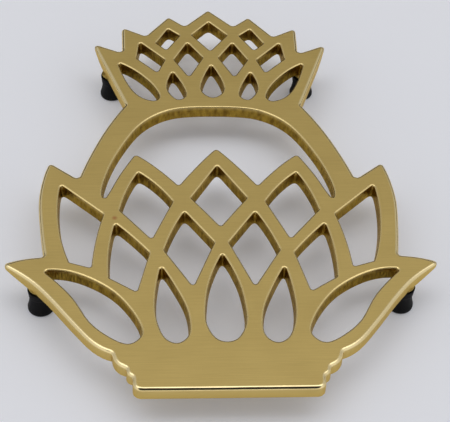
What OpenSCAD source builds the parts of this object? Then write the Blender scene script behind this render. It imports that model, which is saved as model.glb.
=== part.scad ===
// Openwork pineapple trivet: one brass casting with four posts, each in a rubber boot.
// +Z is up, the base of the pineapple faces -Y and its crown points to +Y.
// The origin lies on the table, under the middle of the plate.

/* [Plate] */
// Width over the sharp corners of the two base leaves
plate_w = 183; // [140:1:240]
// Length from the straight front wall to the sharp corner of the crown
plate_l = 240; // [190:1:320]
// Thickness of the casting
plate_t = 6; // [4:0.5:9]
// Width of the ribs between the openings of the body
rib_w = 8; // [6:0.2:9]
// Width of the ribs between the openings of the crown
crown_rib_w = 6.8; // [5.6:0.2:7.6]

/* [Edges and corners] */
// Bevel on the outer top edge
edge_bevel = 0.8; // [0.4:0.1:1.1]
// Bevel on the top edge of every opening
hole_bevel = 0.4; // [0.2:0.1:0.6]
// Rounding of the leaf tips, seen from above
tip_r = 1.6; // [1.2:0.1:2.5]
// Rounding between two leaves, seen from above
valley_r = 1.5; // [1:0.1:3]
// Rounding of the corners of the openings
hole_r = 0.9; // [0.6:0.1:1.4]
// Rounding of the two front corners
front_r = 3.5; // [2:0.1:5]
// Rounding at the bottom of the notches in the scrolls
notch_r = 0.35; // [0.3:0.05:0.6]

/* [Posts] */
// Diameter of a post where it grows out of the plate
post_root_d = 6.4; // [6.2:0.1:7.2]
// Diameter of a post inside its boot
post_d = 6; // [4.5:0.1:6.2]
// Length of post seen between the plate and its boot
post_gap = 1; // [0.5:0.1:4]
// Bevel round the lower end of a post
post_bevel = 0.5; // [0.2:0.1:1]

/* [Boots] */
// Height of a rubber boot
boot_h = 12.2; // [9:0.1:20]
// Diameter of a boot where it stands on the table
boot_base_d = 10.6; // [9.5:0.1:16]
// Diameter of a boot at its waist
boot_waist_d = 9.1; // [8.2:0.1:9.4]
// Diameter over the flared rim of a boot
boot_rim_d = 10.2; // [10:0.1:12]
// How far the flared collar stands out from the waist below it
boot_collar_step = 0.25; // [0.1:0.05:0.3]
// Thickness of the rim at its edge
boot_lip = 0.6; // [0.4:0.1:0.9]
// Depth of the flared mouth
boot_mouth_h = 3; // [1.5:0.1:4]
// Height of the band round the base of a boot
boot_band_h = 1.8; // [1:0.1:3]
// Height of the waist above the table
boot_waist_h = 8.4; // [5:0.1:8.8]
// Rounding of the bottom edge of a boot
boot_toe_r = 0.9; // [0.3:0.1:1]
// Thickness of rubber under the post
boot_floor = 2.5; // [1.5:0.1:4]
// Play between a post and the bore of its boot
boot_play = 0.05; // [0.02:0.01:0.2]

/* [Hidden] */

brass = "#AB9660";
rubber = "#1C1C1D";

// How far a post reaches into the plate, and a cutter past the surface that it cuts
overrun = 0.25;
// Pieces between two knots of a curve
curve_steps = 4;
// Largest turn between two points of a rounded corner, in degrees
corner_turn = 40;
// Facets of a full circle
$fn = 72;

// Heights above the table
plate_bottom = boot_h + post_gap;
plate_top = plate_bottom + plate_t;

// Marks a knot that the outline runs through in a curve. Any other knot is a corner,
// and holds the radius of its rounding.
smooth = -1;

// Right half of the outer outline, from the front corner round to the tip of the crown.
// x is a share of half the plate's width, y of its length from the front.
plate_shares = [
    [0.407, 0.000, front_r],
    [0.407, 0.027, notch_r], // scrolls at the root of the base leaf
    [0.430, 0.033, smooth],
    [0.433, 0.044, notch_r],
    [0.477, 0.055, smooth],
    [0.496, 0.075, notch_r],
    [0.579, 0.094, smooth], // underside of the base leaf
    [0.667, 0.134, smooth],
    [0.787, 0.195, smooth],
    [0.878, 0.233, smooth],
    [1.000, 0.267, tip_r],
    [0.918, 0.281, smooth],
    [0.813, 0.287, valley_r],
    [0.839, 0.352, smooth], // outer leaf of the body
    [0.856, 0.423, smooth],
    [0.846, 0.480, smooth],
    [0.819, 0.525, tip_r],
    [0.674, 0.480, valley_r],
    [0.620, 0.549, smooth], // shoulder
    [0.546, 0.622, smooth],
    [0.455, 0.689, valley_r],
    [0.636, 0.881, tip_r], // leaves of the crown
    [0.475, 0.853, valley_r],
    [0.480, 0.938, tip_r],
    [0.349, 0.909, valley_r],
    [0.223, 0.975, tip_r],
    [0.134, 0.943, valley_r],
    [0.000, 1.000, tip_r],
];

// Openings on the middle line, as their right halves
middle_diamond_shares = [
    [0.000, 0.357, hole_r],
    [0.134, 0.430, hole_r],
    [0.000, 0.517, hole_r],
];
middle_drop_shares = [
    [0.000, 0.097, smooth],
    [0.049, 0.105, smooth],
    [0.084, 0.133, smooth],
    [0.088, 0.168, smooth],
    [0.065, 0.228, smooth],
    [0.000, 0.294, hole_r],
];
// The wide opening between the lattice of the body and the band under the crown
arch_shares = [
    [0.000, 0.562, valley_r],
    [0.085, 0.521, smooth],
    [0.191, 0.461, hole_r],
    [0.306, 0.513, smooth],
    [0.402, 0.546, valley_r],
    [0.474, 0.492, smooth],
    [0.519, 0.449, smooth],
    [0.545, 0.427, hole_r],
    [0.558, 0.458, smooth],
    [0.515, 0.524, smooth],
    [0.443, 0.588, smooth],
    [0.374, 0.631, smooth],
    [0.284, 0.661, smooth],
    [0.175, 0.677, smooth],
    [0.000, 0.681, smooth],
];
crown_diamond_shares = [
    [0.000, 0.858, hole_r],
    [0.097, 0.912, hole_r],
    [0.000, 0.957, hole_r],
];
crown_middle_drop_shares = [
    [0.000, 0.711, smooth],
    [0.060, 0.740, smooth],
    [0.000, 0.816, hole_r],
];

// Openings of the right side, each of which has its mirror image on the left
upper_diamond_shares = [
    [0.222, 0.421, hole_r],
    [0.323, 0.327, hole_r],
    [0.473, 0.399, hole_r],
    [0.440, 0.450, smooth],
    [0.387, 0.498, hole_r],
    [0.297, 0.463, smooth],
];
inner_diamond_shares = [
    [0.034, 0.319, hole_r],
    [0.139, 0.216, hole_r],
    [0.267, 0.301, hole_r],
    [0.224, 0.350, smooth],
    [0.168, 0.396, hole_r],
];
outer_diamond_shares = [
    [0.334, 0.295, hole_r],
    [0.390, 0.205, hole_r],
    [0.515, 0.237, hole_r],
    [0.517, 0.302, smooth],
    [0.494, 0.367, hole_r],
    [0.411, 0.332, smooth],
];
side_opening_shares = [
    [0.549, 0.389, hole_r],
    [0.581, 0.325, smooth],
    [0.596, 0.260, hole_r],
    [0.696, 0.273, hole_r],
    [0.742, 0.335, smooth],
    [0.763, 0.402, smooth],
    [0.758, 0.465, hole_r],
];
side_drop_shares = [
    [0.227, 0.095, smooth],
    [0.275, 0.110, smooth],
    [0.306, 0.150, smooth],
    [0.308, 0.200, smooth],
    [0.283, 0.266, hole_r],
    [0.219, 0.216, smooth],
    [0.172, 0.169, smooth],
    [0.160, 0.124, smooth],
    [0.182, 0.102, smooth],
];
base_leaf_shares = [
    [0.380, 0.105, smooth],
    [0.431, 0.094, smooth],
    [0.508, 0.109, smooth],
    [0.595, 0.141, smooth],
    [0.680, 0.197, smooth],
    [0.812, 0.254, hole_r],
    [0.710, 0.253, smooth],
    [0.601, 0.236, smooth],
    [0.492, 0.205, smooth],
    [0.412, 0.164, smooth],
    [0.369, 0.126, smooth],
];
crown_tip_shares = [
    [0.163, 0.910, hole_r],
    [0.237, 0.861, hole_r],
    [0.293, 0.884, hole_r],
    [0.227, 0.933, hole_r],
];
crown_inner_shares = [
    [0.043, 0.837, hole_r],
    [0.120, 0.774, hole_r],
    [0.197, 0.830, hole_r],
    [0.123, 0.887, hole_r],
];
crown_outer_shares = [
    [0.247, 0.830, hole_r],
    [0.287, 0.788, hole_r],
    [0.397, 0.833, hole_r],
    [0.383, 0.888, hole_r],
];
crown_side_drop_shares = [
    [0.140, 0.725, smooth],
    [0.186, 0.705, smooth],
    [0.237, 0.740, smooth],
    [0.207, 0.793, hole_r],
];
crown_leaf_shares = [
    [0.315, 0.701, smooth],
    [0.383, 0.715, smooth],
    [0.442, 0.752, smooth],
    [0.498, 0.820, hole_r],
    [0.408, 0.795, smooth],
    [0.326, 0.758, smooth],
    [0.284, 0.726, smooth],
    [0.283, 0.708, smooth],
];

// Width of a rib as the openings above are drawn, as a share of half the plate's width
drawn_rib_share = 0.0875;
drawn_crown_rib_share = 0.0743;
// Where the posts stand: x as a share of half the plate's width, y of its length.
// The back two stand a little off each other's mirrored place, as they were cast.
front_left_post_shares = [-0.828, 0.239];
front_right_post_shares = [0.828, 0.239];
back_left_post_shares = [-0.532, 0.813];
back_right_post_shares = [0.499, 0.817];

// The element i of a closed list, counted round its end
function at(list, i) = list[(i + len(list)) % len(list)];
function xy(p) = [p[0], p[1]];
function unit(v) = v / norm(v);
function left_of(v) = [-v[1], v[0]];

// Knots in millimetres
function knots(shares) = [for (s = shares) [s[0] * plate_w / 2, s[1] * plate_l, s[2]]];

// A right half that starts and ends at the middle line, closed with its mirror image
function both_halves(k) = concat(k, [for (i = [len(k) - 1 : -1 : 0]) if (k[i][0] > 0) [-k[i][0], k[i][1], k[i][2]]]);

// The mirror image of an opening, which runs round the same way
function flipped(k) = [for (i = [len(k) - 1 : -1 : 0]) [-k[i][0], k[i][1], k[i][2]]];

// Point at the share t of the curve from b to c, where a comes before them and d after
function curve(a, b, c, d, t) =
    (2 * b + (c - a) * t + (2 * a - 5 * b + 4 * c - d) * pow(t, 2) + (3 * b - a - 3 * c + d) * pow(t, 3)) / 2;

// All points of a closed outline: straight between two corners, a curve through smooth knots
function traced(k) = [
    for (i = [0 : len(k) - 1])
        let (
            bends = k[i][2] == smooth || at(k, i + 1)[2] == smooth,
            b = xy(k[i]),
            c = xy(at(k, i + 1)),
            a = k[i][2] == smooth ? xy(at(k, i - 1)) : 3 * b - 3 * c + xy(at(k, i + 2)),
            d = at(k, i + 1)[2] == smooth ? xy(at(k, i + 2)) : 3 * c - 3 * b + xy(at(k, i - 1))
        )
        each concat(
            [k[i]],
            bends ? [for (s = [1 : curve_steps - 1]) concat(curve(a, b, c, d, s / curve_steps), smooth)] : []
        )
];

// Points of a closed outline moved to its left by d: inwards, as all outlines run anticlockwise
function inset(points, d) = [
    for (i = [0 : len(points) - 1])
        let (
            p = xy(points[i]),
            m = left_of(unit(p - xy(at(points, i - 1)))),
            n = left_of(unit(xy(at(points, i + 1)) - p))
        )
        p + d * (m + n) / (1 + m * n)
];

// An outline drawn in by d, still with its corners marked
function drawn_in(points, d) = let (moved = inset(points, d)) [
    for (i = [0 : len(points) - 1]) concat(moved[i], points[i][2])
];

// Half the angle between the two sides that meet at point i
function half_angle(points, i) = let (p = xy(points[i]))
    acos(unit(xy(at(points, i - 1)) - p) * unit(xy(at(points, i + 1)) - p)) / 2;

// How far the rounding of corner i reaches along its sides, at most to near the next corner
function reach(points, i) = let (
    p = xy(points[i]),
    others = [for (q = points) if (q[2] != smooth && xy(q) != p) norm(xy(q) - p)]
) min(concat(points[i][2] / tan(half_angle(points, i)), others * 0.48));

// The point at the distance d from corner i, found along its side in steps of 1 or -1 from j
function along(points, i, j, step, d) = let (
    corner = xy(points[i]),
    p = xy(at(points, j)),
    q = xy(at(points, j + step)),
    near = norm(p - corner),
    far = norm(q - corner)
) far < d ? along(points, i, j + step, step, d) : p + (q - p) * (d - near) / (far - near);

// Points of the arc at corner i, from the side before it to the side after it
function corner_arc(points, i, d) = let (
    a = along(points, i, i, -1, d),
    b = xy(points[i]),
    c = along(points, i, i, 1, d),
    weight = sin(half_angle(points, i)),
    steps = ceil((180 - 2 * half_angle(points, i)) / corner_turn)
) [
    for (s = [0 : steps])
        let (t = s / steps, u = 1 - t)
        (u * u * a + 2 * t * u * weight * b + t * t * c) / (u * u + 2 * t * u * weight + t * t)
];

// An outline with its corners rounded
function rounded(points) = let (
    reaches = [for (i = [0 : len(points) - 1]) points[i][2] == smooth ? 0 : reach(points, i)]
) [
    for (i = [0 : len(points) - 1])
        let (hidden = [for (j = [0 : len(points) - 1]) if (norm(xy(points[i]) - xy(points[j])) < reaches[j]) j])
        each points[i][2] != smooth ? corner_arc(points, i, reaches[i])
            : len(hidden) > 0 ? []
            : [xy(points[i])]
];

// Points of an opening, with the ribs beside it brought to their width
function opening(k, rib, drawn_share) = rounded(drawn_in(traced(k), (rib - drawn_share * plate_w / 2) / 2));
function body_opening(k) = opening(k, rib_w, drawn_rib_share);
function crown_opening(k) = opening(k, crown_rib_w, drawn_crown_rib_share);

outline = rounded(traced(both_halves(knots(plate_shares))));
openings = concat(
    [for (s = [middle_diamond_shares, middle_drop_shares, arch_shares]) body_opening(both_halves(knots(s)))],
    [for (s = [crown_diamond_shares, crown_middle_drop_shares]) crown_opening(both_halves(knots(s)))],
    [
        for (s = [upper_diamond_shares, inner_diamond_shares, outer_diamond_shares, side_opening_shares,
            side_drop_shares, base_leaf_shares])
            each [body_opening(knots(s)), body_opening(flipped(knots(s)))]
    ],
    [
        for (s = [crown_tip_shares, crown_inner_shares, crown_outer_shares, crown_side_drop_shares,
            crown_leaf_shares])
            each [crown_opening(knots(s)), crown_opening(flipped(knots(s)))]
    ]
);

// The outline runs from 0 to a little under plate_l, and its middle is put over the origin
outline_ys = [for (p = outline) p[1]];
y_shift = -(min(outline_ys) + max(outline_ys)) / 2;

// Closed ring along an outline that bevels the plate's top edge there by d.
// The material lies on the side given by into, 1 for inside the outline and -1 for outside.
module bevel_cutter(points, d, into) {
    slope = unit([1, 1]);
    low = [0, -d] - overrun * slope;
    high = [d, 0] + overrun * slope;
    profile = [low, high, [low[0], high[1]]];
    count = len(points);
    rings = [for (p = profile) each [for (q = inset(points, into * p[0])) concat(q, plate_top + p[1])]];
    sides = [
        for (j = [0 : len(profile) - 1], i = [0 : count - 1])
            let (
                k = (j + 1) % len(profile),
                n = (i + 1) % count
            )
            into < 0
                ? [j * count + i, k * count + i, k * count + n, j * count + n]
                : [j * count + n, k * count + n, k * count + i, j * count + i]
    ];
    polyhedron(points = rings, faces = sides);
}

// Openwork plate, cut through by its openings and beveled round them
module openwork() {
    difference() {
        translate([0, 0, plate_bottom])
            linear_extrude(height = plate_t)
                difference() {
                    polygon(outline);
                    for (hole = openings)
                        polygon(hole);
                }
        bevel_cutter(outline, edge_bevel, 1);
        for (hole = openings)
            bevel_cutter(hole, hole_bevel, -1);
    }
}

// Post cast under a leaf, which ends on the floor of its boot
module post() {
    rotate_extrude()
        polygon([
            [0, boot_floor],
            [post_d / 2 - post_bevel, boot_floor],
            [post_d / 2, boot_floor + post_bevel],
            [post_d / 2, boot_h - boot_mouth_h],
            [post_root_d / 2, plate_bottom],
            [post_root_d / 2, plate_bottom + overrun],
            [0, plate_bottom + overrun],
        ]);
}

// Radius of a boot's outside at the height z, from its band up to its waist
function skirt_radius(z) = boot_waist_d / 2
    + (boot_base_d - boot_waist_d) / 2 * pow((boot_waist_h - z) / (boot_waist_h - boot_band_h), 2);

// Rubber boot with a banded base, a drawn-in waist and a flared collar
module rubber_boot() {
    bore_r = post_d / 2 + boot_play;
    sweep_steps = 6;
    color(rubber)
        rotate_extrude()
            polygon(concat(
                [[0, 0]],
                [
                    for (a = [0 : 30 : 90])
                        [boot_base_d / 2 - boot_toe_r * (1 - sin(a)), boot_toe_r * (1 - cos(a))]
                ],
                [
                    for (s = [0 : sweep_steps])
                        let (z = boot_band_h + (boot_waist_h - boot_band_h) * s / sweep_steps)
                        [skirt_radius(z), z]
                ],
                [
                    [boot_waist_d / 2 + boot_collar_step, boot_waist_h + boot_collar_step],
                    [boot_rim_d / 2, boot_h],
                    [boot_rim_d / 2 - boot_lip, boot_h],
                    [bore_r, boot_h - boot_mouth_h],
                    [bore_r, boot_floor],
                    [0, boot_floor],
                ]
            ));
}

// Puts its children at a post
module at_post(shares) {
    translate([shares[0] * plate_w / 2, shares[1] * plate_l + y_shift, 0])
        children();
}

module brass_plate() {
    color(brass)
        union() {
            translate([0, y_shift, 0])
                openwork();
            for (shares = [
                front_left_post_shares,
                front_right_post_shares,
                back_left_post_shares,
                back_right_post_shares,
            ])
                at_post(shares)
                    post();
        }
}

module boot_front_left() {
    at_post(front_left_post_shares)
        rubber_boot();
}

module boot_front_right() {
    at_post(front_right_post_shares)
        rubber_boot();
}

module boot_back_left() {
    at_post(back_left_post_shares)
        rubber_boot();
}

module boot_back_right() {
    at_post(back_right_post_shares)
        rubber_boot();
}

brass_plate();
boot_front_left();
boot_front_right();
boot_back_left();
boot_back_right();
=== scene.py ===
"""Openwork pineapple trivet: a brass casting on four posts in rubber boots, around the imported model."""
import math

import bpy
import numpy as np
from bpy.props import FloatProperty, FloatVectorProperty, IntProperty, PointerProperty
from mathutils import Matrix, Vector
from mathutils.geometry import delaunay_2d_cdt


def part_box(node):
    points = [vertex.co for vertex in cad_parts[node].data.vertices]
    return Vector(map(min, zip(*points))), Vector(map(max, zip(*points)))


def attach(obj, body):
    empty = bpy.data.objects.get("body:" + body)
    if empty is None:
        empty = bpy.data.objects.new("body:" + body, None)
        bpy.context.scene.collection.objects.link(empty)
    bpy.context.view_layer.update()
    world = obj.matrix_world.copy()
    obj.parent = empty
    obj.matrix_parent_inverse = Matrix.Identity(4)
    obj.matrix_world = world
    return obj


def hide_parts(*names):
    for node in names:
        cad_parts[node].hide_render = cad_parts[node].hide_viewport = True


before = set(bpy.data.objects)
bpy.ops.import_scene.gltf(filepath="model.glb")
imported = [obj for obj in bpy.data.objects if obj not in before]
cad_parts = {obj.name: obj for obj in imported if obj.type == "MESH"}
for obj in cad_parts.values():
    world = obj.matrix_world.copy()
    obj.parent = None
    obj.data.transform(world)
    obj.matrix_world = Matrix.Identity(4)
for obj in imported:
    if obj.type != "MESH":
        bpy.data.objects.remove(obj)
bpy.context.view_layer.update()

bl_info = {
    "name": "Openwork Trivet",
    "version": (1, 0, 0),
    "blender": (4, 5, 0),
    "location": "View3D > Sidebar > Trivet",
    "description": "Builds a brass openwork trivet on rubber boots, and its stage",
    "category": "Add Mesh",
}

MM = 0.001
BODY = "root"
PLATE = "brass_plate"
BOOTS = ("boot_front_left", "boot_front_right", "boot_back_left", "boot_back_right")

PLATE_LOW, PLATE_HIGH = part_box(PLATE)
BOOT_LOW, BOOT_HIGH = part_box(BOOTS[0])
TOP_Z = PLATE_HIGH.z
THICKNESS = 6.0 * MM
BOTTOM_Z = TOP_Z - THICKNESS
# Every leaf tip of the crown lies behind this line
CROWN_Y = 75 * MM

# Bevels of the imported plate, by which the outlines of its top face stand back from its walls
CAD_EDGE_BEVEL = 0.8 * MM
CAD_HOLE_BEVEL = 0.4 * MM
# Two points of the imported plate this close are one, and one this close to the highest is on its top
SAME_POINT = MM * 1e-3
SAME_HEIGHT = MM * 1e-2
# Divisor that stands in for the length of a step that has none
NO_LENGTH = 1e-12
# Points of the curve along each side of a packed outline, and the fewest points that it is given
CURVE_STEPS = 3
FEWEST_POINTS = 12
# Rows of the straight part of a wall, and faces across its rounded lower edge
WALL_ROWS = 2
UNDER_STEPS = 2
# The triangulation covers the hull of its points, and takes two this many millimetres apart for one
WHOLE_HULL = 0
MERGE_WITHIN = 1e-6

# Masks on the points of the casting: how buffed each is, which also sets how much painted highlight
# its edge gets, how rough-cast, and how far down its wall each is, which also sets the painted warm
# reflection tint; and what they are on a post, where they lighten and warm it as painted bounce light
MASKS = ("polish_and_painted_highlight", "cast", "depth")
POST_MASKS = (0.0, 0.2, 0.6)
# How buffed the openings' edges are and how much painted highlight they get, and the rows of a wall
# over which one finish fades to the next
HOLE_POLISH_AND_PAINTED_HIGHLIGHT = 0.45
FADE_ROWS = 2

# Bevel at the foot of a post, and its fillet under the plate
POST_CHAMFER = 0.5 * MM
POST_FILLET = 0.35 * MM
# Points of the section of a boot along its toe, its skirt and its lip
TOE_POINTS = 7
SKIRT_POINTS = 16
LIP_POINTS = 8
# Height of the rounded lip of a boot, as a share of a half circle's
LIP_SHARE = 0.8
# Width and height of the bevel between the mouth and the bore of a boot
BORE_BEVEL = (0.15 * MM, 0.4 * MM)

# Patterns of noise: stretch along x, y and z, detail, and the limits between which the mask rises
BRUSH_MARKS = dict(stretch=(60, 1900, 60), detail=4.0, low=0.3, high=0.7)
CLOUDS = dict(stretch=(45, 70, 45), detail=5.0, low=0.35, high=0.7)
WALL_GRAIN = dict(stretch=(1300, 1300, 420), detail=6.0, low=0.32, high=0.68)
WALL_PITS = dict(stretch=(520, 520, 230), detail=6.0, low=0.36, high=0.68)
RUBBER_GRAIN = dict(stretch=(1600, 1600, 1600), detail=4.0, low=0.3, high=0.7)
RUBBER_BLOOM = dict(stretch=(220, 220, 120), detail=4.0, low=0.45, high=0.75)
# How much brush marks and clouds deepen the brass, and how much of the painted warm reflection tint
# the outer wall gets low down
BRUSH_SHARE = 0.4
CLOUD_SHARE = 0.3
PAINTED_REFLECTION_SHARE = 0.8
# Small copper stain on the top: its middle, the radii where it begins and ends to fade, its strength
STAIN_PLACE = (-45.4 * MM, -28.8 * MM, TOP_Z)
STAIN_CORE = 0.3 * MM
STAIN_REACH = 1.5 * MM
STAIN_SHARE = 0.75
# Roughness of the brass: between and on the brush marks of the top, on a buffed edge, on a rough wall
TOP_ROUGH = (0.30, 0.40)
EDGE_ROUGH = 0.12
WALL_ROUGH = 0.3
# Strength of the relief of the brass on its top and on its rough walls, and the depth of the relief
BRASS_RELIEF = (0.06, 0.9)
BRASS_DEPTH = 0.25 * MM
# Rubber: roughness bare and under the bloom, how much the bloom lightens it, its shine, its relief
RUBBER_ROUGH = (0.5, 0.68)
BLOOM_LIGHT = 0.004
RUBBER_SHINE = 0.12
RUBBER_RELIEF = 0.3
RUBBER_DEPTH = 0.05 * MM
FLOOR_ROUGH = 0.6
FLOOR_SHINE = 0.2
# How far the floor reaches to each side, in metres
FLOOR_REACH = 8.0
# Places of the two values and of the result among the sockets of a Mix node
MIX_SOCKETS = {"RGBA": (6, 7, 2), "FLOAT": (2, 3, 0)}

# The room's light grows along a direction. A mask rises from low to high along its own direction
ROOM_SLOPE = (0.0, -0.36, 0.14)
ROOM_LIGHT = 0.64
FRONT_BAND = dict(along=(0.0, -1.0, -1.2), low=0.30, high=0.80)
FRONT_LIGHT = 0.15
BACK_BAND = dict(along=(0.0, 1.0, -1.0), low=0.06, high=0.26)
BACK_LIGHT = 0.17
# The lamp is where all three of its masks are
LAMP = (
    dict(along=(0.0, 1.0, 0.0), low=-0.20, high=-0.06),
    dict(along=(0.0, -1.0, 0.0), low=-0.40, high=-0.26),
    dict(along=(0.0, 0.0, 1.0), low=0.68, high=0.92),
)
LAMP_LIGHT = 0.95
# Dark places, each with the share of the light that it keeps: round the camera, and low at the back
DARK_PLACES = (
    (dict(along=(0.0, -0.68, 0.73), low=0.78, high=0.90), 0.03),
    (dict(along=(0.0, 1.0, -1.2), low=0.14, high=0.46), 0.06),
)
LIGHT_COLOUR = (1.0, 0.995, 0.985)

# The camera is measured from a point on the middle line of the top: the point's y, and how far it lies
# to the right of the middle of the view and below it
CAMERA_ANCHOR_Y = -55.33 * MM
CAMERA_SIDE = -0.8013 * MM
CAMERA_DROP = 21.7876 * MM
# Width of the camera's sensor in millimetres, and the nearest distance that it sees in metres
SENSOR_WIDTH = 36.0
NEAREST_SEEN = 0.01


def length_of(metres):
    """What every length property has: its default, its unit and how many digits show."""
    return dict(default=metres, unit="LENGTH", precision=5, min=0.0)


def colour_of(red, green, blue):
    """What every colour property has: its default and its kind."""
    return dict(default=(red, green, blue), subtype="COLOR")


class TrivetPlateSettings(bpy.types.PropertyGroup):
    """Sizes of the finish of the casting."""

    edge_round: FloatProperty(
        name="Outer edge", description="Width of the rounding of the outer top edge",
        **length_of(1.6 * MM)
    )
    edge_drop: FloatProperty(
        name="Outer edge drop", description="Height of the rounding of the outer top edge",
        **length_of(1.5 * MM)
    )
    hole_round: FloatProperty(
        name="Opening edge", description="Width of the rounding of the openings' top edge",
        **length_of(0.9 * MM)
    )
    hole_drop: FloatProperty(
        name="Opening edge drop", description="Height of the rounding of the openings' top edge",
        **length_of(0.5 * MM)
    )
    under_round: FloatProperty(
        name="Underside edge", description="Rounding of the edges of the underside",
        **length_of(0.4 * MM)
    )
    draft: FloatProperty(
        name="Draft", description="How far an opening narrows on its way down",
        **length_of(0.45 * MM)
    )
    low_corner: FloatProperty(
        name="Lower corners", description="Softening of the lower corners of the openings",
        **length_of(1.9 * MM)
    )
    rim_soften: FloatProperty(
        name="Rim softening", description="Softening of the notches and tips of the outline",
        **length_of(0.15 * MM)
    )
    spacing: FloatProperty(
        name="Spacing", description="Distance between two points of an outline",
        **length_of(0.45 * MM)
    )
    scroll_soften: FloatProperty(
        name="Scroll softening", description="Softening of the scrolls at their top edge",
        **length_of(1.0 * MM)
    )
    scroll_reach: FloatProperty(
        name="Scroll reach", description="How far the scrolls reach back from the front wall",
        **length_of(24 * MM)
    )
    scroll_fade: FloatProperty(
        name="Scroll fade", description="Length over which their softening begins",
        **length_of(4 * MM)
    )
    thin_reach: FloatProperty(
        name="Thin tips", description="How far the thinning of the outermost leaves reaches from their tips",
        **length_of(15 * MM)
    )
    thin_share: FloatProperty(
        name="Tip thickness", description="Thickness of such a leaf at its tip, as a share of the plate's",
        subtype="FACTOR", default=0.22, min=0.0, max=1.0,
    )
    edge_steps: IntProperty(
        name="Edge steps", description="Faces across the rounded outer edge", default=7
    )
    hole_steps: IntProperty(
        name="Opening steps", description="Faces across the rounded edge of an opening", default=4
    )


class TrivetBootSettings(bpy.types.PropertyGroup):
    """Sizes of a rubber boot and the post inside it."""

    flare: FloatProperty(
        name="Flare", description="How far the base spreads under the weight", **length_of(0.35 * MM)
    )
    waist: FloatProperty(name="Waist", description="Radius at the waist", **length_of(4.55 * MM))
    waist_z: FloatProperty(name="Waist height", description="Height of the waist", **length_of(8.4 * MM))
    collar: FloatProperty(name="Collar", description="Radius over the flared rim", **length_of(5.1 * MM))
    collar_step: FloatProperty(
        name="Collar step", description="How far the collar stands out from the waist",
        **length_of(0.25 * MM)
    )
    lip: FloatProperty(name="Lip", description="Thickness of the rim", **length_of(0.6 * MM))
    mouth: FloatProperty(name="Mouth", description="Depth of the flared mouth", **length_of(3.0 * MM))
    bore: FloatProperty(name="Bore", description="Radius of the bore", **length_of(3.05 * MM))
    floor: FloatProperty(name="Floor", description="Rubber under the post", **length_of(2.5 * MM))
    band: FloatProperty(
        name="Band", description="Height of the band round the base", **length_of(1.8 * MM)
    )
    toe: FloatProperty(name="Toe", description="Rounding of the bottom edge", **length_of(0.9 * MM))
    post: FloatProperty(name="Post", description="Radius of a post", **length_of(3.0 * MM))
    post_rim: FloatProperty(
        name="Post at rim", description="Radius of a post at the rim of its boot",
        **length_of(3.95 * MM)
    )
    post_root: FloatProperty(
        name="Post root", description="Radius of a post at the plate", **length_of(4.3 * MM)
    )
    round_steps: IntProperty(name="Round steps", description="Points round a boot or a post", default=72)


class TrivetColourSettings(bpy.types.PropertyGroup):
    """Colours of the finishes."""

    brass: FloatVectorProperty(
        name="Brass", description="Colour of the brushed top", **colour_of(0.712, 0.534, 0.193)
    )
    brass_deep: FloatVectorProperty(
        name="Brass in shade", description="Colour of slightly tarnished streaks",
        **colour_of(0.57, 0.415, 0.142)
    )
    # Paler colour of the rounded edges: a painted highlight that makes their shine cream-white
    edge: FloatVectorProperty(
        name="Buffed edge", description="Colour of the buffed edges", **colour_of(0.86, 0.715, 0.40)
    )
    # Warmer colour low on the outer wall: a painted reflection tint
    painted_warm_reflection: FloatVectorProperty(
        name="Warm brass", description="Colour of the lower part of the outer wall",
        **colour_of(0.64, 0.455, 0.125)
    )
    copper: FloatVectorProperty(
        name="Copper stain", description="Colour of the stain on the left rib",
        **colour_of(0.48, 0.17, 0.07)
    )
    cast: FloatVectorProperty(
        name="Cast wall", description="Colour of the rough walls of the openings",
        **colour_of(0.41, 0.265, 0.041)
    )
    cast_deep: FloatVectorProperty(
        name="Cast wall, dark", description="Colour of the pits in the rough walls",
        **colour_of(0.19, 0.108, 0.016)
    )
    grazing: FloatVectorProperty(
        name="Grazing brass", description="Tint of the brass where it is seen along its surface",
        **colour_of(0.96, 0.83, 0.57)
    )
    rubber: FloatVectorProperty(
        name="Rubber", description="Colour of the boots", **colour_of(0.003, 0.003, 0.0035)
    )
    floor: FloatVectorProperty(
        name="Floor", description="Colour of the pale floor", **colour_of(0.784, 0.798, 0.856)
    )
    floor_glow: FloatProperty(
        name="Floor glow", description="Light that the floor adds where it is seen", default=0.17
    )


class TrivetCameraSettings(bpy.types.PropertyGroup):
    """The photograph's point of view."""

    pitch: FloatProperty(
        name="Pitch", description="Angle of the view below the horizon", subtype="ANGLE",
        default=0.79355,
    )
    yaw: FloatProperty(
        name="Yaw", description="Turn of the trivet on the table", subtype="ANGLE", default=0.08912
    )
    roll: FloatProperty(name="Roll", description="Tilt of the camera", subtype="ANGLE", default=0.06076)
    lens: FloatProperty(name="Lens", description="Focal length", unit="CAMERA", default=100.0)
    distance: FloatProperty(
        name="Distance", description="Distance along the view to the point that it is measured from",
        unit="LENGTH", default=0.51994,
    )


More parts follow.
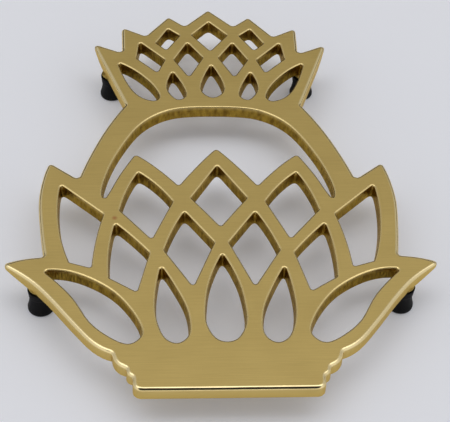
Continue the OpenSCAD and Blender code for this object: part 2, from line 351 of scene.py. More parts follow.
def loops_of_top(node):
    """Closed outlines of the flat top face of a CAD node, as arrays of x and y.

    A side of the top face that no second top triangle shares lies on an outline. Each such side leads
    from one point to the next, so following them by doubling the jump gives every point the lowest
    label of its loop and its rank in it.
    """
    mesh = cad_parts[node].data
    mesh.calc_loop_triangles()
    places = np.empty(len(mesh.vertices) * 3)
    mesh.vertices.foreach_get("co", places)
    keys = np.round(places.reshape(-1, 3) / SAME_POINT).astype(np.int64)
    _, first, merged = np.unique(keys, axis=0, return_index=True, return_inverse=True)
    merged = merged.ravel()
    points = places.reshape(-1, 3)[first]
    corners = np.empty(len(mesh.loop_triangles) * 3, dtype=np.int64)
    mesh.loop_triangles.foreach_get("vertices", corners)
    triangles = merged[corners].reshape(-1, 3)
    on_top = np.all(points[triangles][:, :, 2] > points[:, 2].max() - SAME_HEIGHT, axis=1)
    sides = np.concatenate([triangles[on_top][:, [a, b]] for a, b in ((0, 1), (1, 2), (2, 0))])
    sides = sides[sides[:, 0] != sides[:, 1]]
    codes = sides[:, 0] * len(points) + sides[:, 1]
    back = sides[:, 1] * len(points) + sides[:, 0]
    used, renumbered = np.unique(sides[~np.isin(codes, back)], return_inverse=True)
    sides = renumbered.reshape(-1, 2)
    everyone = np.arange(len(used))
    doublings = int(np.ceil(np.log2(len(used))))
    following = np.empty(len(used), dtype=np.int64)
    following[sides[:, 0]] = sides[:, 1]
    label, hop = everyone, following
    for _ in range(doublings):
        label, hop = np.minimum(label, label[hop]), hop[hop]
    is_root = label == everyone
    to = np.where(is_root, everyone, following)
    rank = np.where(is_root, 0, 1)
    for _ in range(doublings):
        rank, to = rank + rank[to], to[to]
    outlines = []
    for root in np.flatnonzero(is_root):
        members = np.flatnonzero(label == root)
        ordered = members[np.argsort(-rank[members], kind="stable")]
        outlines.append(points[used[ordered]][:, :2])
    return outlines


def signed_area(path):
    """Half the sum of the cross products of neighbouring points: positive if the path is anticlockwise."""
    after = np.roll(path, -1, axis=0)
    return 0.5 * np.sum(path[:, 0] * after[:, 1] - path[:, 1] * after[:, 0])


def refined(path, steps):
    """Hermite curve through the points of a closed path, with steps points for each side.

    The tangent at a point runs along the chord between its two neighbours, and is as long as the side
    that it serves.
    """
    after = np.roll(path, -1, axis=0)
    chord = after - np.roll(path, 1, axis=0)
    tangent = chord / np.linalg.norm(chord, axis=1, keepdims=True)
    length = np.linalg.norm(after - path, axis=1)[:, None, None]
    t = (np.arange(steps) / steps)[None, :, None]
    p, q = path[:, None], after[:, None]
    m, n = tangent[:, None] * length, np.roll(tangent, -1, axis=0)[:, None] * length
    curve = (
        (2 * t**3 - 3 * t**2 + 1) * p + (t**3 - 2 * t**2 + t) * m
        + (-2 * t**3 + 3 * t**2) * q + (t**3 - t**2) * n
    )
    return curve.reshape(-1, 2)


def path_normals(path):
    """Left normals of a closed path at its points, long enough to keep sides moved along them parallel."""
    along = np.roll(path, -1, axis=0) - path
    along /= np.maximum(np.linalg.norm(along, axis=1, keepdims=True), NO_LENGTH)
    left = np.stack([-along[:, 1], along[:, 0]], axis=1)
    before = np.roll(left, 1, axis=0)
    return (left + before) / (1 + np.sum(left * before, axis=1, keepdims=True))


def evenly(path, spacing):
    """A closed path with points at even distances along it, close to the given spacing."""
    closed = np.vstack([path, path[:1]])
    reached = np.concatenate([[0], np.cumsum(np.linalg.norm(np.diff(closed, axis=0), axis=1))])
    count = max(FEWEST_POINTS, round(reached[-1] / spacing))
    marks = np.linspace(0, reached[-1], count, endpoint=False)
    return np.stack([np.interp(marks, reached, closed[:, i]) for i in range(2)], axis=1)


def softened(path, spread):
    """An evenly spaced closed path, blurred along itself by a bell curve of the given spread.

    Each wave of the path, with k turns over its length L, is multiplied by exp(-(2 pi k spread / L)^2 / 2).
    """
    length = np.sum(np.linalg.norm(np.roll(path, -1, axis=0) - path, axis=1))
    waves = np.fft.rfft(path, axis=0)
    turns = np.arange(len(waves))[:, None]
    waves *= np.exp(-0.5 * (2 * np.pi * turns * spread / length) ** 2)
    return np.fft.irfft(waves, n=len(path), axis=0)


def edge_profile(width, drop, bottom_r, draft, steps):
    """Section of a wall from the top face to the underside: rows of distance, height and share of the way.

    The top edge is a quarter ellipse: distance width (1 - sin a) and depth drop (1 - cos a) for a from
    0 to 90 degrees. The wall then leans out of the material by the draft, and the bottom edge is a
    quarter circle. Distance is measured from the wall into the material.
    """
    a = np.linspace(0, np.pi / 2, steps + 1)
    upper = np.stack([width * (1 - np.sin(a)), TOP_Z - drop * (1 - np.cos(a))], axis=1)
    heights = np.linspace(TOP_Z - drop, BOTTOM_Z + bottom_r, WALL_ROWS + 2)[1:-1]
    b = np.linspace(0, np.pi / 2, UNDER_STEPS + 1)
    lower = np.stack([bottom_r * (1 - np.cos(b)), BOTTOM_Z + bottom_r * (1 - np.sin(b))], axis=1)
    rows = np.concatenate([upper, np.stack([np.zeros(WALL_ROWS), heights], axis=1), lower])
    way = np.clip((TOP_Z - drop - rows[:, 1]) / (THICKNESS - drop - bottom_r), 0, 1)
    return np.column_stack([rows[:, 0] - draft * way, rows[:, 1], way])


def carried(path, lower, profile, side):
    """Surface of a profile carried along a closed path, and its normals.

    The point for path point p and profile row (d, z, w) is (1 - w) p + w q + side d n at the height z,
    where q is the point of the lower path, n the left normal, and side is 1 where the material lies to
    the left. The normal is the cross product of the steps along the path and down the profile; it is
    upright where the caps begin.
    """
    normals = path_normals(path)
    share = profile[:, None, 2:3]
    places = (1 - share) * path[None] + share * lower[None] + side * profile[:, None, 0:1] * normals[None]
    heights = np.broadcast_to(profile[:, None, 1:2], (len(profile), len(path), 1))
    points = np.concatenate([places, heights], axis=2)
    along = np.roll(points, -1, axis=1) - np.roll(points, 1, axis=1)
    down = np.gradient(points, axis=0)
    directions = np.cross(down, along) * side
    directions /= np.maximum(np.linalg.norm(directions, axis=2, keepdims=True), NO_LENGTH)
    directions[0], directions[-1] = (0, 0, 1), (0, 0, -1)
    return points.reshape(-1, 3), directions.reshape(-1, 3)


def outer_wall(path, sizes):
    """Upper path, lower path and section of the outer wall.

    Both paths are softened by the rim softening. Within the scrolls' reach of the front, the upper path
    passes to the path softened by the scroll softening.
    """
    lower = softened(path, sizes.rim_soften)
    scroll_end = lower[:, 1:].min() + sizes.scroll_reach
    front = np.clip((scroll_end - lower[:, 1:]) / sizes.scroll_fade, 0, 1)
    upper = lower + front * (softened(path, sizes.scroll_soften) - lower)
    profile = edge_profile(sizes.edge_round, sizes.edge_drop, sizes.under_round, 0.0, sizes.edge_steps)
    return upper, lower, profile


def opening_wall(path, sizes):
    """Upper path, lower path and section of an opening's wall, whose corners soften on their way down."""
    profile = edge_profile(
        sizes.hole_round, sizes.hole_drop, sizes.under_round, sizes.draft, sizes.hole_steps
    )
    return path, softened(path, sizes.low_corner), profile


def wall_masks(profile, count, sizes, outer):
    """Masks of a wall whose rows have count points each.

    The outer edge is buffed, and given the painted highlight, from its second row down to the last rows
    of its rounding. An opening's edge is buffed a little, and given a weaker painted highlight, from its
    second row down, until it passes into the rough-cast wall.
    """
    row = np.repeat(np.arange(len(profile)), count)
    if outer:
        cast = np.zeros(len(row))
        polish_and_painted_highlight = np.clip(row, 0, 1) * np.clip((sizes.edge_steps - 1 - row) / FADE_ROWS, 0, 1)
    else:
        cast = np.clip((row - (sizes.hole_steps - 1)) / FADE_ROWS, 0, 1)
        polish_and_painted_highlight = HOLE_POLISH_AND_PAINTED_HIGHLIGHT * (row > 0) * (1 - cast)
    return np.stack([polish_and_painted_highlight, cast, np.repeat(profile[:, 2], count)], axis=1)


def thinned_tips(points, reach, share):
    """Points of the plate, with the underside raised toward the tips of the outermost leaves.

    The depth under the top face is multiplied by share + (1 - share) (1 - (1 - d / reach)^2), where d is
    the distance to the nearest of the outermost points of the plate and of its crown, seen from above,
    and at most the reach.
    """
    crown = np.flatnonzero(points[:, 1] > CROWN_Y)
    tips = points[[
        np.argmin(points[:, 0]), np.argmax(points[:, 0]),
        crown[np.argmin(points[crown, 0])], crown[np.argmax(points[crown, 0])],
    ], :2]
    away = np.linalg.norm(points[:, None, :2] - tips[None], axis=2).min(axis=1)
    left = 1 - np.clip(away / reach, 0, 1)
    depth = (TOP_Z - points[:, 2]) * (share + (1 - share) * (1 - left**2))
    return np.column_stack([points[:, :2], TOP_Z - depth])


def strip_faces(rows, count, start, flip):
    """Quads between neighbouring rows of a closed surface whose rows have count points each."""
    r, c = np.meshgrid(np.arange(rows - 1), np.arange(count), indexing="ij")
    a, b = r * count + c, r * count + (c + 1) % count
    quads = np.stack([a, a + count, b + count, b], axis=-1).reshape(-1, 4) + start
    return quads[:, ::-1] if flip else quads


def inside(points, path):
    """Whether each point is in a closed path: a ray to the right crosses the path an odd number of times."""
    x, y = points[:, 0:1], points[:, 1:2]
    ax, ay = path[None, :, 0], path[None, :, 1]
    bx, by = np.roll(path[:, 0], -1)[None], np.roll(path[:, 1], -1)[None]
    spans = (ay > y) != (by > y)
    crossing = ax + (y - ay) * (bx - ax) / np.where(spans, by - ay, 1)
    return np.sum(spans & (x < crossing), axis=1) % 2 == 1


def cap_faces(rings, indices, height, start):
    """Triangles of the flat face between an outer ring and its openings, as indices into the surface.

    A constrained Delaunay triangulation covers the hull of all points. A triangle is kept where its
    middle lies inside the first ring and in none of the others. Where a ring crosses itself at a sharp
    tip, the triangulation adds a point, which is returned at the given height and numbered from start.
    """
    flat = np.concatenate(rings) / MM
    sizes = np.array([len(ring) for ring in rings])
    starts = np.concatenate([[0], np.cumsum(sizes)[:-1]])
    edges = np.concatenate([
        np.stack([np.arange(n), (np.arange(n) + 1) % n], axis=1) + s for n, s in zip(sizes, starts)
    ])
    corners, lines = [Vector(p) for p in flat], [tuple(e) for e in edges.tolist()]
    made, _, faces, origins, _, _ = delaunay_2d_cdt(corners, lines, [], WHOLE_HULL, MERGE_WITHIN, True)
    made = np.array([tuple(p) for p in made]) * MM
    first = np.array([origin[0] if origin else -1 for origin in origins])
    added = np.flatnonzero(first < 0)
    numbers = np.append(np.concatenate(indices), 0)[first]
    numbers[added] = start + np.arange(len(added))
    triangles = np.array([face for face in faces if len(face) == 3])
    middle = made[triangles].mean(axis=1)
    keep = inside(middle, rings[0])
    for ring in rings[1:]:
        keep &= ~inside(middle, ring)
    triangles = triangles[keep]
    a, b, c = (made[triangles[:, i]] for i in range(3))
    turn = (b[:, 0] - a[:, 0]) * (c[:, 1] - a[:, 1]) - (b[:, 1] - a[:, 1]) * (c[:, 0] - a[:, 0])
    triangles = np.where((turn > 0)[:, None], triangles, triangles[:, ::-1])
    extra = np.column_stack([made[added], np.full(len(added), height)])
    return numbers[triangles], extra


def plate_surface(sizes):
    """Points, normals, faces and masks of the plate: a wall along each outline, and a cap at each end.

    The largest outline of the CAD plate is its rim and the others are its openings. Each is moved out
    of the metal by its bevel, to where its wall stands, drawn as a curve and given evenly spaced
    points. The cap below has the corners of its faces in the opposite order, so it looks down.
    """
    points, normals, faces, masks = [], [], [], []
    rings = {0: [], -1: []}
    numbers = {0: [], -1: []}
    start = 0
    outlines = sorted(loops_of_top(PLATE), key=lambda path: -abs(signed_area(path)))
    for order, outline in enumerate(outlines):
        outer = order == 0
        side, bevel, wall = (
            (1, CAD_EDGE_BEVEL, outer_wall) if outer else (-1, CAD_HOLE_BEVEL, opening_wall)
        )
        path = outline if signed_area(outline) > 0 else outline[::-1]
        path = evenly(refined(path - side * bevel * path_normals(path), CURVE_STEPS), sizes.spacing)
        upper, lower, profile = wall(path, sizes)
        surface, directions = carried(upper, lower, profile, side)
        rows, count = len(profile), len(path)
        points.append(surface)
        normals.append(directions)
        faces.append(strip_faces(rows, count, start, not outer))
        masks.append(wall_masks(profile, count, sizes, outer))
        for row in rings:
            ring = np.arange(count) + (row % rows) * count
            rings[row].append(surface[ring, :2])
            numbers[row].append(ring + start)
        start += rows * count
    for row, height, up, depth in ((0, TOP_Z, 1, 0), (-1, BOTTOM_Z, -1, 1)):
        cap, extra = cap_faces(rings[row], numbers[row], height, start)
        faces.append(cap[:, ::up])
        points.append(extra)
        normals.append(np.tile([0.0, 0.0, up], (len(extra), 1)))
        masks.append(np.tile([0.0, 0.0, depth], (len(extra), 1)))
        start += len(extra)
    return np.concatenate(points), np.concatenate(normals), faces, np.concatenate(masks)


def closed_lathe(profile, centre, steps, start):
    """Points and faces of a surface of revolution that closes on its axis, numbered from start.

    The row (r, z) of the profile becomes a circle of radius r round the centre at the height z, and its
    first and last rows become a point each.
    """
    angle = np.arange(steps) * 2 * np.pi / steps
    circle = np.stack([np.cos(angle), np.sin(angle)], axis=1)
    rows = len(profile) - 2
    places = centre[None, None] + profile[1:-1, None, 0:1] * circle[None]
    heights = np.broadcast_to(profile[1:-1, None, 1:2], (rows, steps, 1))
    points = np.concatenate([places, heights], axis=2).reshape(-1, 3)
    ends = np.array([[*centre, profile[0, 1]], [*centre, profile[-1, 1]]])
    here = np.arange(steps)
    after = (here + 1) % steps
    low, last_row = start + rows * steps, start + (rows - 1) * steps
    first = np.stack([np.full(steps, low), after + start, here + start], axis=1)
    last = np.stack([np.full(steps, low + 1), here + last_row, after + last_row], axis=1)
    return np.concatenate([points, ends]), [strip_faces(rows, steps, start, True), first, last]


def build_mesh(name, points, faces, masks=None):
    """Smooth object at the origin from arrays of points and faces, with float masks on its points."""
    mesh = bpy.data.meshes.new(name)
    mesh.from_pydata(points.tolist(), [], [list(f) for part in faces for f in part.tolist()])
    mesh.validate()
    mesh.polygons.foreach_set("use_smooth", np.ones(len(mesh.polygons), dtype=bool))
    for mask, values in (masks or {}).items():
        mesh.attributes.new(mask, "FLOAT", "POINT").data.foreach_set("value", values.astype(np.float32))
    mesh.update()
    made = bpy.data.objects.new(name, mesh)
    bpy.context.scene.collection.objects.link(made)
    return made


def place(tree, kind, links=None, **values):
    """Adds a node, sets its properties, and gives its inputs their values or links from other sockets."""
    node = tree.nodes.new(kind)
    for key, value in values.items():
        setattr(node, key, value)
    for socket, source in (links or {}).items():
        if hasattr(source, "is_output"):
            tree.links.new(source, node.inputs[socket])
        else:
            node.inputs[socket].default_value = source
    return node


def maths(tree, operation, *values):
    """Result of a math node on numbers and sockets."""
    return place(tree, "ShaderNodeMath", dict(enumerate(values)), operation=operation).outputs[0]


def mixed(tree, kind, mask, first, second):
    """Mix of two colours or two numbers: the first where the mask is 0, and the second where it is 1."""
    a, b, result = MIX_SOCKETS[kind]
    node = place(tree, "ShaderNodeMix", {"Factor": mask, a: first, b: second}, data_type=kind)
    return node.outputs[result]


def ranged(tree, mask, low, high):
    """Number that goes from low to high as the mask goes from 0 to 1."""
    return place(tree, "ShaderNodeMapRange", {"Value": mask, "To Min": low, "To Max": high}).outputs[0]


def opaque(colour):
    """A colour with its fourth value, for a socket."""
    return (*colour, 1)


def new_group(name, inputs, outputs):
    """Shader node group with named inputs and outputs, given as (name, socket type, default)."""
    group = bpy.data.node_groups.new(name, "ShaderNodeTree")
    for label, kind, default in inputs:
        socket = group.interface.new_socket(name=label, in_out="INPUT", socket_type=kind)
        if default is not None:
            socket.default_value = default
    for label, kind in outputs:
        group.interface.new_socket(name=label, in_out="OUTPUT", socket_type=kind)
    return group, group.nodes.new("NodeGroupInput"), group.nodes.new("NodeGroupOutput")


def streak_group():
    """Noise on stretched object coordinates: a mask from 0 to 1 for brush marks, grain or stains."""
    group, given, out = new_group(
        "Streaks",
        [
            ("Vector", "NodeSocketVector", None), ("Stretch", "NodeSocketVector", (1, 1, 1)),
            ("Detail", "NodeSocketFloat", 3.0), ("Low", "NodeSocketFloat", 0.35),
            ("High", "NodeSocketFloat", 0.65),
        ],
        [("Mask", "NodeSocketFloat")],
    )
    from_group = given.outputs
    stretched = place(
        group, "ShaderNodeVectorMath", {0: from_group["Vector"], 1: from_group["Stretch"]},
        operation="MULTIPLY",
    )
    noise = place(
        group, "ShaderNodeTexNoise",
        {"Vector": stretched.outputs[0], "Scale": 1.0, "Detail": from_group["Detail"]},
    )
    limits = {"Value": noise.outputs[0], "From Min": from_group["Low"], "From Max": from_group["High"]}
    mask = place(group, "ShaderNodeMapRange", limits)
    group.links.new(mask.outputs[0], out.inputs["Mask"])
    return group


def blend_group():
    """Mix of two finishes by a mask, each with a colour, a roughness and a height."""
    group, given, out = new_group(
        "Two finishes",
        [
            ("Mask", "NodeSocketFloat", 0.0),
            ("Colour A", "NodeSocketColor", None), ("Colour B", "NodeSocketColor", None),
            ("Rough A", "NodeSocketFloat", 0.3), ("Rough B", "NodeSocketFloat", 0.6),
            ("Height A", "NodeSocketFloat", 0.0), ("Height B", "NodeSocketFloat", 0.0),
        ],
        [("Colour", "NodeSocketColor"), ("Rough", "NodeSocketFloat"), ("Height", "NodeSocketFloat")],
    )
    from_group = given.outputs
    for label, kind in (("Colour", "RGBA"), ("Rough", "FLOAT"), ("Height", "FLOAT")):
        both = from_group[label + " A"], from_group[label + " B"]
        group.links.new(mixed(group, kind, from_group["Mask"], *both), out.inputs[label])
    return group


def shared_groups():
    """The two node groups, made on their first use."""
    made = bpy.data.node_groups
    return (made.get("Streaks") or streak_group(), made.get("Two finishes") or blend_group())


def streaks(tree, group, where, stretch, detail, low, high):
    """Mask of one use of the streak group, with its own stretch, detail and limits."""
    values = {"Vector": where, "Stretch": stretch, "Detail": detail, "Low": low, "High": high}
    return place(tree, "ShaderNodeGroup", values, node_tree=group).outputs["Mask"]


def new_material(name):
    """Material with only a Principled shader and an output, as its tree and its shader."""
    material = bpy.data.materials.new(name)
    material.use_nodes = True
    tree = material.node_tree
    tree.nodes.clear()
    shader = tree.nodes.new("ShaderNodeBsdfPrincipled")
    end = tree.nodes.new("ShaderNodeOutputMaterial")
    tree.links.new(shader.outputs[0], end.inputs["Surface"])
    return material, tree, shader


def feed_shader(tree, shader, finish, strength, depth):
    """Feeds a shader from a finish: its colour, its roughness, and its height as relief of some depth."""
    relief = {"Height": finish.outputs["Height"], "Distance": depth, "Strength": strength}
    bump = place(tree, "ShaderNodeBump", relief)
    tree.links.new(finish.outputs["Colour"], shader.inputs["Base Color"])
    tree.links.new(finish.outputs["Rough"], shader.inputs["Roughness"])
    tree.links.new(bump.outputs[0], shader.inputs["Normal"])


def brass_material(colours, groups):
    """Brushed top, buffed edges whose paler colour is a painted highlight, and rough-cast walls, told
    apart by the masks on the points.

    Clouds and brush marks deepen the colour of the top, the outer wall is warmer low down as a painted
    reflection tint, and one small copper stain fades out round its middle.
    """
    material, tree, shader = new_material("cast_brass")
    streak, blend = groups
    where = place(tree, "ShaderNodeTexCoord").outputs["Object"]
    polish_and_painted_highlight, cast, depth = (
        place(tree, "ShaderNodeAttribute", attribute_name=mask).outputs["Fac"] for mask in MASKS
    )
    brushed, clouds, grain, pits = (
        streaks(tree, streak, where, **pattern)
        for pattern in (BRUSH_MARKS, CLOUDS, WALL_GRAIN, WALL_PITS)
    )
    tarnish = maths(tree, "MULTIPLY_ADD", brushed, BRUSH_SHARE, maths(tree, "MULTIPLY", clouds, CLOUD_SHARE))
    top = mixed(tree, "RGBA", tarnish, opaque(colours.brass), opaque(colours.brass_deep))
    # Paler colour on the buffed edges: painted highlight
    top = mixed(tree, "RGBA", polish_and_painted_highlight, top, opaque(colours.edge))
    # Warmer colour low on the outer wall, by its depth: painted reflection tint
    top = mixed(tree, "RGBA", maths(tree, "MULTIPLY", depth, PAINTED_REFLECTION_SHARE), top, opaque(colours.painted_warm_reflection))
    away = place(tree, "ShaderNodeVectorMath", {0: where, 1: STAIN_PLACE}, operation="DISTANCE")
    fade = {"From Min": STAIN_CORE, "From Max": STAIN_REACH, "To Min": STAIN_SHARE, "To Max": 0.0}
    stain = place(tree, "ShaderNodeMapRange", {"Value": away.outputs["Value"], **fade}).outputs[0]
    top = mixed(tree, "RGBA", stain, top, opaque(colours.copper))
    wall = mixed(tree, "RGBA", pits, opaque(colours.cast), opaque(colours.cast_deep))
    shine = mixed(tree, "FLOAT", polish_and_painted_highlight, ranged(tree, brushed, *TOP_ROUGH), EDGE_ROUGH)
    finish = place(
        tree, "ShaderNodeGroup",
        {
            "Mask": cast, "Colour A": top, "Colour B": wall, "Rough A": shine, "Rough B": WALL_ROUGH,
            "Height A": brushed, "Height B": grain,
        },
        node_tree=blend,
    )
    feed_shader(tree, shader, finish, ranged(tree, cast, *BRASS_RELIEF), BRASS_DEPTH)
    shader.inputs["Metallic"].default_value = 1.0
    shader.inputs["Specular Tint"].default_value = opaque(colours.grazing)
    return material


def rubber_material(colours, groups):
    """Moulded rubber: near black, with a fine grain and a dry bloom that dulls it in patches."""
    material, tree, shader = new_material("boot_rubber")
    streak, blend = groups
    where = place(tree, "ShaderNodeTexCoord").outputs["Object"]
    grain = streaks(tree, streak, where, **RUBBER_GRAIN)
    bloom = streaks(tree, streak, where, **RUBBER_BLOOM)
    dusty = tuple(c + BLOOM_LIGHT for c in colours.rubber)
    bare_rough, dusty_rough = RUBBER_ROUGH
    finish = place(
        tree, "ShaderNodeGroup",
        {
            "Mask": bloom, "Colour A": opaque(colours.rubber), "Colour B": opaque(dusty),
            "Rough A": bare_rough, "Rough B": dusty_rough, "Height A": grain, "Height B": grain,
        },
        node_tree=blend,
    )
    feed_shader(tree, shader, finish, RUBBER_RELIEF, RUBBER_DEPTH)
    shader.inputs["Specular IOR Level"].default_value = RUBBER_SHINE
    return material


def floor_material(colours):
    """Matt pale board. Some of its paleness is shown to the camera and to the metal as light of its own."""
    material, tree, shader = new_material("pale_floor")
    shader.inputs["Base Color"].default_value = opaque(colours.floor)
    shader.inputs["Emission Color"].default_value = opaque(colours.floor)
    shader.inputs["Roughness"].default_value = FLOOR_ROUGH
    shader.inputs["Specular IOR Level"].default_value = FLOOR_SHINE
    path = place(tree, "ShaderNodeLightPath").outputs
    seen = maths(tree, "MAXIMUM", path["Is Camera Ray"], path["Is Glossy Ray"])
    glow = maths(tree, "MULTIPLY", seen, colours.floor_glow)
    tree.links.new(glow, shader.inputs["Emission Strength"])
    return material


def finish_piece(piece, node, material):
    """Gives a new piece its material, lets it stand for a CAD node and rides it on the one body."""
    piece.data.materials.append(material)
    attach(piece, BODY)
    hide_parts(node)


def box_centre(node):
    """Middle of a CAD node's box, seen from above."""
    low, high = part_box(node)
    return np.array([(low.x + high.x) / 2, (low.y + high.y) / 2])


class TRIVET_OT_plate(bpy.types.Operator):
    """Build the openwork brass casting with its four posts"""

    bl_idname = "trivet.plate"
    bl_label = "Brass plate"

    def execute(self, context):
        scene = context.scene
        sizes, boots = scene.trivet_plate, scene.trivet_boots
        plate, normals, faces, plate_masks = plate_surface(sizes)
        points, masks = [thinned_tips(plate, sizes.thin_reach, sizes.thin_share)], [plate_masks]
        start = len(plate)
        for boot in BOOTS:
            surface, sides = closed_lathe(
                self.post_profile(boots), box_centre(boot), boots.round_steps, start
            )
            points.append(surface)
            faces += sides
            masks.append(np.tile(POST_MASKS, (len(surface), 1)))
            start += len(surface)
        piece = build_mesh(
            "trivet_plate", np.clip(np.concatenate(points), PLATE_LOW, PLATE_HIGH), faces,
            masks=dict(zip(MASKS, np.concatenate(masks).T)),
        )
        own = np.empty(len(piece.data.vertices) * 3)
        piece.data.vertex_normals.foreach_get("vector", own)
        own = own.reshape(-1, 3)
        own[:len(plate)] = normals
        piece.data.normals_split_custom_set_from_vertices(own.tolist())
        finish_piece(piece, PLATE, brass_material(scene.trivet_colours, shared_groups()))
        return {"FINISHED"}

    def post_profile(self, sizes):
        """Section of a post from the axis at its foot to the axis inside the plate.

        The post is straight up to the mouth of its boot, and widens from there in two cones, one to the
        rim of the boot and one to the fillet under the plate.
        """
        foot, mouth = PLATE_LOW.z, BOOT_HIGH.z - sizes.mouth
        root, fillet = sizes.post_root, POST_FILLET
        return np.array([
            [0, foot], [sizes.post - POST_CHAMFER, foot], [sizes.post, foot + POST_CHAMFER],
            [sizes.post, mouth], [sizes.post_rim, BOOT_HIGH.z], [root, BOTTOM_Z - fillet],
            [root + fillet / 3, BOTTOM_Z - fillet / 3], [root + fillet, BOTTOM_Z],
            [0, BOTTOM_Z + POST_CHAMFER],
        ])


class TRIVET_OT_boots(bpy.types.Operator):
    """Build the four rubber boots"""

    bl_idname = "trivet.boots"
    bl_label = "Rubber boots"

    def execute(self, context):
        scene = context.scene
        material = rubber_material(scene.trivet_colours, shared_groups())
        profile = self.profile(scene.trivet_boots)
        for boot in BOOTS:
            surface, sides = closed_lathe(profile, box_centre(boot), scene.trivet_boots.round_steps, 0)
            piece = build_mesh("rubber_" + boot, surface, sides)
            finish_piece(piece, boot, material)
        return {"FINISHED"}

    def profile(self, sizes):
        """Section of a boot: toe, band, skirt, waist, collar, lip, mouth and bore.

        The toe is a quarter circle. The skirt's radius is the waist's plus what the base has more, times
        the square of a share that falls from 1 at the band to 0 at the waist. The lip is half an
        ellipse.
        """
        base, height = (BOOT_HIGH.x - BOOT_LOW.x) / 2 + sizes.flare, BOOT_HIGH.z - BOOT_LOW.z
        a = np.linspace(0, np.pi / 2, TOE_POINTS)
        toe = np.stack([base - sizes.toe * (1 - np.sin(a)), sizes.toe * (1 - np.cos(a))], axis=1)
        z = np.linspace(sizes.band, sizes.waist_z, SKIRT_POINTS)
        way = (sizes.waist_z - z) / (sizes.waist_z - sizes.band)
        skirt = np.stack([sizes.waist + (base - sizes.waist) * way**2, z], axis=1)
        step, half = sizes.collar_step, sizes.lip / 2
        collar = np.array([
            [sizes.waist + step / 3, sizes.waist_z + step / 3], [sizes.waist + step, sizes.waist_z + step],
            [sizes.waist + step, sizes.waist_z + 2 * step],
        ])
        b = np.linspace(0, np.pi, LIP_POINTS)
        lip_r = sizes.collar - half + half * np.cos(b)
        lip_z = height - half * LIP_SHARE * (1 - np.sin(b))
        bevel_width, bevel_height = BORE_BEVEL
        mouth_z = height - sizes.mouth
        bore = np.array([
            [sizes.bore + bevel_width, mouth_z + bevel_height], [sizes.bore, mouth_z],
            [sizes.bore, sizes.floor], [0, sizes.floor],
        ])
        return np.concatenate([[[0, 0]], toe, skirt, collar, np.stack([lip_r, lip_z], axis=1), bore])


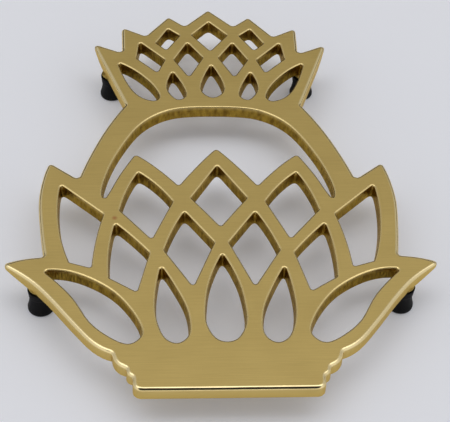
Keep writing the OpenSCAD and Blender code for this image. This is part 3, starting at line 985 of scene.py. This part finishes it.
class TRIVET_OT_stage(bpy.types.Operator):
    """Build the pale floor, the soft light and the camera"""

    bl_idname = "trivet.stage"
    bl_label = "Stage"

    def execute(self, context):
        scene = context.scene
        corners = np.array([[-1, -1, 0], [1, -1, 0], [1, 1, 0], [-1, 1, 0]]) * FLOOR_REACH
        floor = build_mesh("stage_floor", corners, [np.array([[0, 1, 2, 3]])])
        floor.data.materials.append(floor_material(scene.trivet_colours))
        self.light(scene)
        self.camera(scene)
        scene.view_settings.view_transform = "Standard"
        return {"FINISHED"}

    def light(self, scene):
        """World of a soft studio, worked out from masks of the direction.

        The room brightens toward the camera's side. A lamp right overhead is drawn out from left to
        right, a band low in front is brighter, and so is the rim of the dark band low at the back. A
        dark patch lies round the camera.
        """
        world = bpy.data.worlds.new("soft_room")
        scene.world = world
        world.use_nodes = True
        tree = world.node_tree
        tree.nodes.clear()
        where = place(tree, "ShaderNodeTexCoord").outputs["Generated"]
        slope = place(tree, "ShaderNodeVectorMath", {0: where, 1: ROOM_SLOPE}, operation="DOT_PRODUCT")
        strength = maths(tree, "ADD", slope.outputs["Value"], ROOM_LIGHT)
        front, back, lamp, *rest = (
            self.mask(tree, where, **limits) for limits in (FRONT_BAND, BACK_BAND, *LAMP)
        )
        for mask in rest:
            lamp = maths(tree, "MULTIPLY", lamp, mask)
        for mask, light in ((front, FRONT_LIGHT), (lamp, LAMP_LIGHT), (back, BACK_LIGHT)):
            strength = maths(tree, "MULTIPLY_ADD", mask, light, strength)
        for dark, kept in DARK_PLACES:
            share = maths(tree, "MULTIPLY_ADD", self.mask(tree, where, **dark), kept - 1, 1.0)
            strength = maths(tree, "MULTIPLY", strength, share)
        sky = place(tree, "ShaderNodeBackground", {"Color": opaque(LIGHT_COLOUR), "Strength": strength})
        end = place(tree, "ShaderNodeOutputWorld")
        tree.links.new(sky.outputs[0], end.inputs["Surface"])

    def mask(self, tree, where, along, low, high):
        """Mask of the directions whose dot product with a vector lies above low, and fully above high."""
        toward = place(tree, "ShaderNodeVectorMath", {0: where, 1: along}, operation="DOT_PRODUCT")
        limits = {"Value": toward.outputs["Value"], "From Min": low, "From Max": high}
        return place(tree, "ShaderNodeMapRange", limits, interpolation_type="SMOOTHSTEP").outputs[0]

    def camera(self, scene):
        """Camera of the photograph.

        The trivet is turned by the yaw, tilted by the pitch and turned by the roll into the view, whose
        axes run right, down and ahead. The eye stands at the measured point, less that point's place in
        the view, turned back into the axes of the trivet.
        """
        view = scene.trivet_camera
        cy, sy = math.cos(view.yaw), math.sin(view.yaw)
        cp, sp = math.cos(view.pitch), math.sin(view.pitch)
        cr, sr = math.cos(view.roll), math.sin(view.roll)
        turn = Matrix(((cy, -sy, 0), (sy, cy, 0), (0, 0, 1)))
        tilt = Matrix(((1, 0, 0), (0, -sp, -cp), (0, cp, -sp)))
        roll = Matrix(((cr, -sr, 0), (sr, cr, 0), (0, 0, 1)))
        to_view = roll @ tilt @ turn
        offset = Vector((CAMERA_SIDE, CAMERA_DROP, view.distance))
        right, down, ahead = to_view
        pose = Matrix((right, -down, -ahead)).transposed().to_4x4()
        pose.translation = -(to_view.transposed() @ offset) + Vector((0, CAMERA_ANCHOR_Y, TOP_Z))
        data = bpy.data.cameras.new("photo_camera")
        data.lens = view.lens
        data.sensor_width = SENSOR_WIDTH
        data.clip_start = NEAREST_SEEN
        made = bpy.data.objects.new("photo_camera", data)
        made.matrix_world = pose
        scene.collection.objects.link(made)
        scene.camera = made


class TRIVET_PT_panel(bpy.types.Panel):
    """Lists the steps that build the trivet"""

    bl_idname = "TRIVET_PT_panel"
    bl_label = "Trivet"
    bl_space_type = "VIEW_3D"
    bl_region_type = "UI"
    bl_category = "Trivet"

    def draw(self, context):
        for operator in OPERATORS:
            self.layout.operator(operator.bl_idname)


OPERATORS = (TRIVET_OT_stage, TRIVET_OT_plate, TRIVET_OT_boots)
SETTINGS = {
    "trivet_plate": TrivetPlateSettings,
    "trivet_boots": TrivetBootSettings,
    "trivet_colours": TrivetColourSettings,
    "trivet_camera": TrivetCameraSettings,
}
CLASSES = (*SETTINGS.values(), *OPERATORS, TRIVET_PT_panel)


def register():
    """Registers the settings, the operators and the panel, and gives every scene its settings."""
    for kind in CLASSES:
        bpy.utils.register_class(kind)
    for name, kind in SETTINGS.items():
        setattr(bpy.types.Scene, name, PointerProperty(type=kind))


def unregister():
    """Takes back what register did, in the opposite order."""
    for name in SETTINGS:
        delattr(bpy.types.Scene, name)
    for kind in reversed(CLASSES):
        bpy.utils.unregister_class(kind)


def main():
    """Builds the stage and the trivet."""
    register()
    bpy.ops.trivet.stage()
    bpy.ops.trivet.plate()
    bpy.ops.trivet.boots()


if __name__ == "__main__":
    main()
